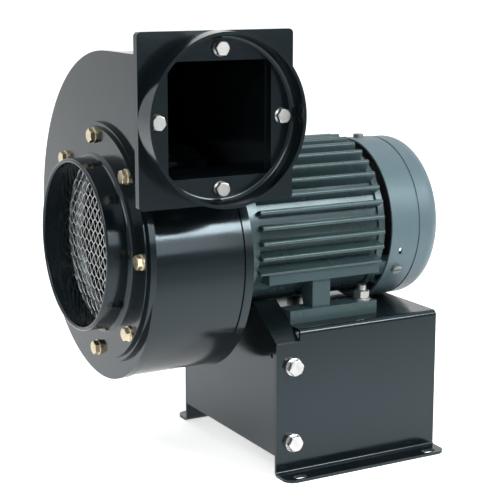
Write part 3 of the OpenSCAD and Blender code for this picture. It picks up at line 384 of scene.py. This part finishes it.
MATERIALS = {
    "housing_paint": make_material(
        "gloss_black_enamel", "enamel", 0.05, 0.0004, tint=(0.72, 0.9, 1.0),
        Color=(0.003, 0.0055, 0.0065, 1), Dust_Color=(0.09, 0.1, 0.1, 1), Dust=0.08,
        Smooth=0.1, Hazy=0.2),
    "motor_paint": make_material(
        "grey_green_motor_paint", "cast", 0.12, 0.0004, tint=(0.75, 0.95, 1.0),
        Color=(0.037, 0.063, 0.068, 1), Dust_Color=(0.11, 0.15, 0.155, 1), Dust=0.05,
        Smooth=0.22, Hazy=0.32),
    # A lighter copy of the motor paint for the cowl: painted light, standing in for the smooth cowl
    # catching more light than the finned frame
    "cowl_lit_paint": make_material(
        "motor_paint_lighter_lit_copy", "cast", 0.05, 0.0003, tint=(0.75, 0.95, 1.0),
        Color=(0.085, 0.13, 0.15, 1), Dust_Color=(0.17, 0.22, 0.23, 1), Dust=0.06,
        Smooth=0.36, Hazy=0.48),
    "bright_zinc": make_material(
        "bright_zinc_plate", "metal", 0.1, 0.0002, metallic=1.0, Color=(0.66, 0.67, 0.66, 1),
        Cloud_Color=(0.4, 0.4, 0.38, 1), Smooth=0.26, Dull=0.42),
    "yellow_zinc": make_material(
        "yellow_zinc_plate", "metal", 0.1, 0.0002, metallic=1.0, Color=(0.62, 0.54, 0.38, 1),
        Cloud_Color=(0.45, 0.38, 0.27, 1), Smooth=0.25, Dull=0.42),
    "dull_zinc": make_material(
        "dull_zinc_plate", "metal", 0.12, 0.0002, metallic=1.0, Color=(0.3, 0.33, 0.33, 1),
        Cloud_Color=(0.2, 0.22, 0.22, 1), Smooth=0.35, Dull=0.5),
    "galvanised_wire": make_material(
        "galvanised_wire", "metal", 0.08, 0.0001, metallic=1.0, Color=(0.62, 0.63, 0.63, 1),
        Cloud_Color=(0.42, 0.43, 0.44, 1), Smooth=0.3, Dull=0.45),
    # Much darker than bare galvanised steel: painted shade for the galvanised parts deep inside the
    # housing
    "galvanised_sheet": make_material(
        "galvanised_sheet", "metal", 0.02, 0.0001, metallic=1.0, Color=(0.16, 0.18, 0.19, 1),
        Cloud_Color=(0.12, 0.135, 0.14, 1), Cloud=0.7, Smooth=0.24, Dull=0.34),
    "cast_metal": make_material(
        "turned_casting", "metal", 0.2, 0.0003, metallic=1.0, Color=(0.55, 0.56, 0.57, 1),
        Cloud_Color=(0.4, 0.41, 0.42, 1), Smooth=0.32, Dull=0.5),
    "ground_steel": make_material(
        "ground_steel", "metal", 0.05, 0.0001, metallic=1.0, Color=(0.6, 0.6, 0.61, 1),
        Cloud_Color=(0.5, 0.5, 0.5, 1), Smooth=0.18, Dull=0.28),
    "bearing_steel": make_material(
        "polished_bearing_steel", "metal", 0.02, 0.0001, metallic=1.0, Color=(0.7, 0.7, 0.72, 1),
        Cloud_Color=(0.6, 0.6, 0.62, 1), Smooth=0.08, Dull=0.14),
    "lamination_steel": make_material(
        "stacked_laminations", "metal", 0.4, 0.0003, metallic=1.0, Color=(0.3, 0.31, 0.33, 1),
        Cloud_Color=(0.2, 0.2, 0.22, 1), Smooth=0.4, Dull=0.55, Line_Scale=900.0),
    "enamelled_copper": make_material(
        "enamelled_copper", "metal", 0.5, 0.0005, metallic=0.9, Color=(0.45, 0.2, 0.08, 1),
        Cloud_Color=(0.3, 0.12, 0.05, 1), Smooth=0.3, Dull=0.45),
    "fan_plastic": make_material(
        "black_moulding", "cast", 0.1, 0.0002, Color=(0.012, 0.012, 0.012, 1), Dust=0.1,
        Smooth=0.35, Hazy=0.5, Grain_Scale=900.0),
    "felt_rubber": make_material(
        "black_seal", "cast", 0.3, 0.0003, Color=(0.015, 0.015, 0.015, 1), Dust=0.15,
        Smooth=0.6, Hazy=0.8, Grain_Scale=1200.0),
    "brown_plastic": make_material(
        "brown_moulding", "cast", 0.1, 0.0002, Color=(0.09, 0.035, 0.015, 1), Dust=0.1,
        Smooth=0.3, Hazy=0.45, Grain_Scale=800.0),
}


def paint_frame():
    """Gives every node of the frame its slot's material, but the pressed cowl a lighter copy of the
    motor paint, as painted light.
    """
    for node, slot in SLOT_OF.items():
        mesh = NODES[node].data
        mesh.materials.clear()
        mesh.materials.append(MATERIALS["cowl_lit_paint" if node == "fan_cowl" else slot])


paint_frame()


# ---------- making pieces ----------

def make_piece(name, verts, faces, slot, body, smooth_angle):
    """A closed piece on a body: edges below smooth_angle degrees are shaded smooth."""
    mesh = bpy.data.meshes.new(name)
    mesh.from_pydata([tuple(v) for v in verts], [], faces)
    mesh.validate()
    mesh.materials.append(MATERIALS[slot])
    work = bmesh.new()
    work.from_mesh(mesh)
    bmesh.ops.remove_doubles(work, verts=work.verts, dist=1e-6)
    bmesh.ops.recalc_face_normals(work, faces=work.faces)
    limit = math.radians(smooth_angle)
    for edge in work.edges:
        edge.smooth = edge.calc_face_angle(math.pi) < limit
    for face in work.faces:
        face.smooth = True
    work.to_mesh(mesh)
    work.free()
    piece = bpy.data.objects.new(name, mesh)
    bpy.context.scene.collection.objects.link(piece)
    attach(piece, body)
    return piece


def add_rings(verts, faces, rings, close_start=True, close_end=True):
    """Joins rings of points, all of one length, into a skin."""
    start, count = len(verts), len(rings[0])
    for ring in rings:
        verts.extend(ring)
    for r in range(len(rings) - 1):
        for i in range(count):
            j = (i + 1) % count
            a, b = start + r * count, start + (r + 1) * count
            faces.append((a + i, a + j, b + j, b + i))
    if close_start:
        faces.append(tuple(start + i for i in reversed(range(count))))
    if close_end:
        faces.append(tuple(start + (len(rings) - 1) * count + i for i in range(count)))


def islands(node):
    """The lowest and highest corners of each separate solid of a node."""
    work = bmesh.new()
    work.from_mesh(NODES[node].data)
    bmesh.ops.remove_doubles(work, verts=work.verts, dist=1e-6)
    left, boxes = set(work.verts), []
    for first in work.verts:
        if first not in left:
            continue
        left.discard(first)
        stack, found = [first], []
        while stack:
            vert = stack.pop()
            found.append(vert.co.copy())
            for edge in vert.link_edges:
                other = edge.other_vert(vert)
                if other in left:
                    left.discard(other)
                    stack.append(other)
        boxes.append((Vector([min(c[k] for c in found) for k in range(3)]),
                      Vector([max(c[k] for c in found) for k in range(3)])))
    work.free()
    return boxes


# Fasteners are built about local +Z, which points out of the head
HEX_POINTS = 48
SHANK_POINTS = 24
CHAMFER = 0.94  # the chamfer's small end, as a share of the width across flats
CHAMFER_SLOPE = math.radians(30)
THREAD_ROOT = 0.86  # as a share of the outer radius
THREAD_END = 0.84


def circle_points(radius, level, count, turn=0.0):
    """A ring of points about local +Z."""
    angles = [2 * math.pi * i / count + turn for i in range(count)]
    return [Vector((radius * math.cos(a), radius * math.sin(a), level)) for a in angles]


def hex_rings(across, low, high, chamfer_low, chamfer_high, turn):
    """Rings of a hexagon from low to high, with its corners turned off at the ends asked for."""
    flat = across / 2

    def hexagon(level, slope):
        """The hexagon's outline, drawn back from level with slope where its corners reach out."""
        points = []
        for i in range(HEX_POINTS):
            angle = 2 * math.pi * i / HEX_POINTS
            off = (angle + math.pi / 6) % (math.pi / 3) - math.pi / 6
            radius = flat / math.cos(off)
            back = (radius - flat * CHAMFER) * slope
            points.append(Vector((radius * math.cos(angle + turn), radius * math.sin(angle + turn),
                                  level + back)))
        return points

    def chamfer_end(level):
        return circle_points(flat * CHAMFER, level, HEX_POINTS, turn)

    slope = math.tan(CHAMFER_SLOPE)
    rings = [hexagon(low, slope if chamfer_low else 0.0), hexagon(high, -slope if chamfer_high else 0.0)]
    if chamfer_low:
        rings.insert(0, chamfer_end(low))
    if chamfer_high:
        rings.append(chamfer_end(high))
    return rings


def thread_rings(radius, low, high, pitch):
    """Rings of a threaded shank, from its tip at low up to high."""
    rings, turns = [], max(2, int((high - low) / pitch))
    for i in range(2 * turns + 1):
        share = 1.0 if i % 2 else THREAD_ROOT
        if i in (0, 2 * turns):
            share = THREAD_END
        level = low + (high - low) * i / (2 * turns)
        rings.append(circle_points(radius * share, level, SHANK_POINTS))
    return rings


def outward(direction):
    """Turns local +Z to a direction."""
    return Vector(direction).to_track_quat("Z", "Y").to_matrix().to_4x4()


def make_bolts(node, slot, direction_of, across, head, radius, pitch, turn_of=None, flange=None):
    """Hexagon bolts in place of a node's, with chamfered heads and threaded shanks."""
    verts, faces = [], []
    for low, high in islands(node):
        direction = Vector(direction_of(low, high))
        centre = (low + high) / 2
        half = abs(direction.dot(high - low)) / 2
        place = Matrix.Translation(centre + direction * half) @ outward(direction)
        turn = turn_of(centre) if turn_of else 0.0
        solids = [hex_rings(across, -head, 0.0, False, True, turn),
                  thread_rings(radius, -2 * half, -head, pitch)]
        if flange:
            reach, thick = flange
            solids.append([circle_points(r, z, HEX_POINTS) for r, z in (
                (reach, -head), (reach, -head + 0.5 * thick), (0.85 * reach, -head + 1.4 * thick))])
        for rings in solids:
            add_rings(verts, faces, [[place @ p for p in ring] for ring in rings])
    piece = make_piece(node.replace("bolts", "hex_bolts"), verts, faces, slot, "housing", 25)
    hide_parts(node)


def make_nuts(node, slot, direction, across, radius, turn):
    """Hexagon nuts in place of a node's, chamfered at both ends."""
    verts, faces = [], []
    place_turn = outward(direction)
    for low, high in islands(node):
        half = abs(Vector(direction).dot(high - low)) / 2
        place = Matrix.Translation((low + high) / 2) @ place_turn
        bore_low = circle_points(radius, -half, HEX_POINTS)
        bore_high = circle_points(radius, half, HEX_POINTS)
        rings = [bore_low] + hex_rings(across, -half, half, True, True, turn) + [bore_high, bore_low]
        add_rings(verts, faces, [[place @ p for p in ring] for ring in rings], False, False)
    piece = make_piece("hex_" + node, verts, faces, slot, "housing", 25)
    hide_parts(node)


def make_washers(node, slot, direction, bore):
    """Punched washers in place of a node's: a rolled upper edge and a sharp lower one."""
    verts, faces = [], []
    across = [k for k in range(3) if abs(direction[k]) < 0.5]
    for low, high in islands(node):
        half = abs(Vector(direction).dot(high - low)) / 2
        reach = (high[across[0]] - low[across[0]]) / 2
        place = Matrix.Translation((low + high) / 2) @ outward(direction)
        roll = 0.35 * half
        rings = [circle_points(r, z, HEX_POINTS) for r, z in (
            (bore, -half), (reach, -half), (reach, half - roll), (reach - roll, half),
            (bore + roll, half), (bore, half - roll), (bore, -half))]
        add_rings(verts, faces, [[place @ p for p in ring] for ring in rings], False, False)
    piece = make_piece("punched_" + node, verts, faces, slot, "housing", 30)
    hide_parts(node)


# Bolts by size, the M8 ones with the small hexagon
M8 = {"across": 12 * MM, "head": 5.3 * MM, "radius": 4 * MM, "pitch": 1.25 * MM}
M6 = {"across": 10 * MM, "head": 4 * MM, "radius": 3 * MM, "pitch": 1 * MM}


def make_outlet_fasteners():
    """Flange bolts inside the outlet collar, each left at its own angle, and their nuts."""
    outlet_low, outlet_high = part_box("outlet_collar")
    middle = (outlet_low + outlet_high) / 2

    def turn(centre):
        return 0.4 + 0.7 * math.atan2(centre.z - middle.z, centre.x - middle.x)

    flanged = dict(M6, head=5.2 * MM)
    make_bolts("outlet_bolts", "bright_zinc", lambda a, b: (0, -1, 0), turn_of=turn,
               flange=(6 * MM, 1.2 * MM), **flanged)
    make_nuts("outlet_nuts", "bright_zinc", (0, 1, 0), M6["across"], M6["radius"], 0.2)


def make_other_fasteners():
    """The inlet's, end plate's and feet's hardware, each head left at its own angle."""
    make_bolts("inlet_bolts", "yellow_zinc", lambda a, b: (-1, 0, 0),
               turn_of=lambda c: 3 * c.y / MM, **M6)
    make_washers("inlet_washers", "yellow_zinc", (-1, 0, 0), M6["radius"])
    make_bolts("side_bolts", "bright_zinc", lambda a, b: (0, math.copysign(1, a.y + b.y), 0),
               turn_of=lambda c: 2 * c.z / MM, **M8)
    make_bolts("foot_bolts", "bright_zinc", lambda a, b: (0, 0, -1),
               turn_of=lambda c: 2 * c.x / MM, **M8)
    make_nuts("foot_nuts", "bright_zinc", (0, 0, 1), M8["across"], M8["radius"], 0.35)


def make_guard_cloth():
    """Woven wire cloth across the inlet, set at 45 degrees and held by its ring."""
    pitch, wire = 6.6 * MM, 0.45 * MM
    weave = 0.8 * wire
    radius = (GUARD_HIGH.y - GUARD_LOW.y) / 2 - 1 * MM
    level = (GUARD_LOW.x + GUARD_BACK) / 2
    count = int(radius / pitch)
    sides, verts, faces = 6, [], []
    for lay in (0, 1):
        along = Vector((0, math.cos(math.pi / 4), math.sin(math.pi / 4) * (1 if lay else -1)))
        across = Vector((0, -along.z, along.y))
        for i in range(-count, count + 1):
            reach = math.sqrt(max(0.0, radius ** 2 - (i * pitch) ** 2))
            steps = max(2, int(2 * reach / (pitch / 4)))
            rings = []
            for k in range(steps + 1):
                run = -reach + 2 * reach * k / steps
                wave = math.cos(math.pi * (run / pitch + i + lay)) * weave
                centre = Vector((level + wave, 0, AXIS_Z)) + along * run + across * (i * pitch)
                rings.append([centre + across * (wire * math.cos(2 * math.pi * n / sides))
                              + Vector((wire * math.sin(2 * math.pi * n / sides), 0, 0))
                              for n in range(sides)])
            add_rings(verts, faces, rings)
    piece = make_piece("guard_wire_cloth", verts, faces, "galvanised_wire", "housing", 80)
    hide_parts("guard_front_wires", "guard_rear_wires")


def soften_edges(node, width, piece_name):
    """A copy of a node with its edges rounded, as folded, cast or painted edges are."""
    flat, sharp, shaded = math.radians(0.5), math.radians(30), math.radians(50)
    source = NODES[node]
    mesh = source.data.copy()
    mesh.name = piece_name
    work = bmesh.new()
    work.from_mesh(mesh)
    bmesh.ops.remove_doubles(work, verts=work.verts, dist=2e-6)
    bmesh.ops.dissolve_limit(work, angle_limit=flat, verts=work.verts, edges=work.edges)
    edges = [e for e in work.edges if len(e.link_faces) == 2 and e.calc_face_angle(0) > sharp]
    bmesh.ops.bevel(work, geom=edges, offset=width, offset_type="OFFSET", segments=2,
                    profile=0.5, affect="EDGES", clamp_overlap=True)
    for edge in work.edges:
        edge.smooth = edge.calc_face_angle(math.pi) < shaded
    for face in work.faces:
        face.smooth = True
    work.to_mesh(mesh)
    work.free()
    piece = bpy.data.objects.new(piece_name, mesh)
    bpy.context.scene.collection.objects.link(piece)
    piece.modifiers.new("even_shading", "WEIGHTED_NORMAL").keep_sharp = True
    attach(piece, "housing")
    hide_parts(node)


def fin_section(root, tip):
    """A fin's outline as (distance from the shaft axis, offset to the side) points."""
    root_half, tip_half, tip_steps = 3.0 * MM, 2.1 * MM, 8
    outline = [(root, -root_half)]
    for k in range(tip_steps + 1):
        turn = math.pi * (k / tip_steps - 0.5)
        outline.append((tip - tip_half + tip_half * math.cos(turn), tip_half * math.sin(turn)))
    outline.append((root, root_half))
    return outline


def make_thick_fins():
    """The frame's fins as they are cast: thick, with a rounded tip and eased ends."""
    low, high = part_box("motor_frame")
    skin, ease = 0.2 * MM, 0.8 * MM
    root, tip = 62 * MM, high.z - AXIS_Z + 0.25 * MM
    first, step, count = math.radians(-10), math.radians(10), 21
    outline = fin_section(root, tip)
    start, end = low.x - skin, high.x + skin
    verts, faces = [], []
    for i in range(count):
        turn = first + i * step
        out = Vector((0, math.cos(turn), math.sin(turn)))
        side = Vector((0, -math.sin(turn), math.cos(turn)))
        rings = []
        for level, drawn_in in ((start, ease), (start + ease, 0.0), (end - ease, 0.0), (end, ease)):
            centre = Vector((level, 0, AXIS_Z))
            ring = []
            for reach, offset in outline:
                if reach > root:
                    reach -= drawn_in
                offset -= math.copysign(0.4 * drawn_in, offset)
                ring.append(centre + out * reach + side * offset)
            rings.append(ring)
        add_rings(verts, faces, rings)
    make_piece("cast_fins", verts, faces, "motor_paint", "housing", 40)


soften_edges("pedestal", 0.35 * MM, "folded_pedestal")
soften_edges("outlet_collar", 0.5 * MM, "outlet_collar_casting")
soften_edges("outlet_flange", 0.4 * MM, "outlet_flange_sheet")
soften_edges("inlet_collar", 0.4 * MM, "inlet_collar_spinning")
make_outlet_fasteners()
make_other_fasteners()
make_guard_cloth()
make_thick_fins()
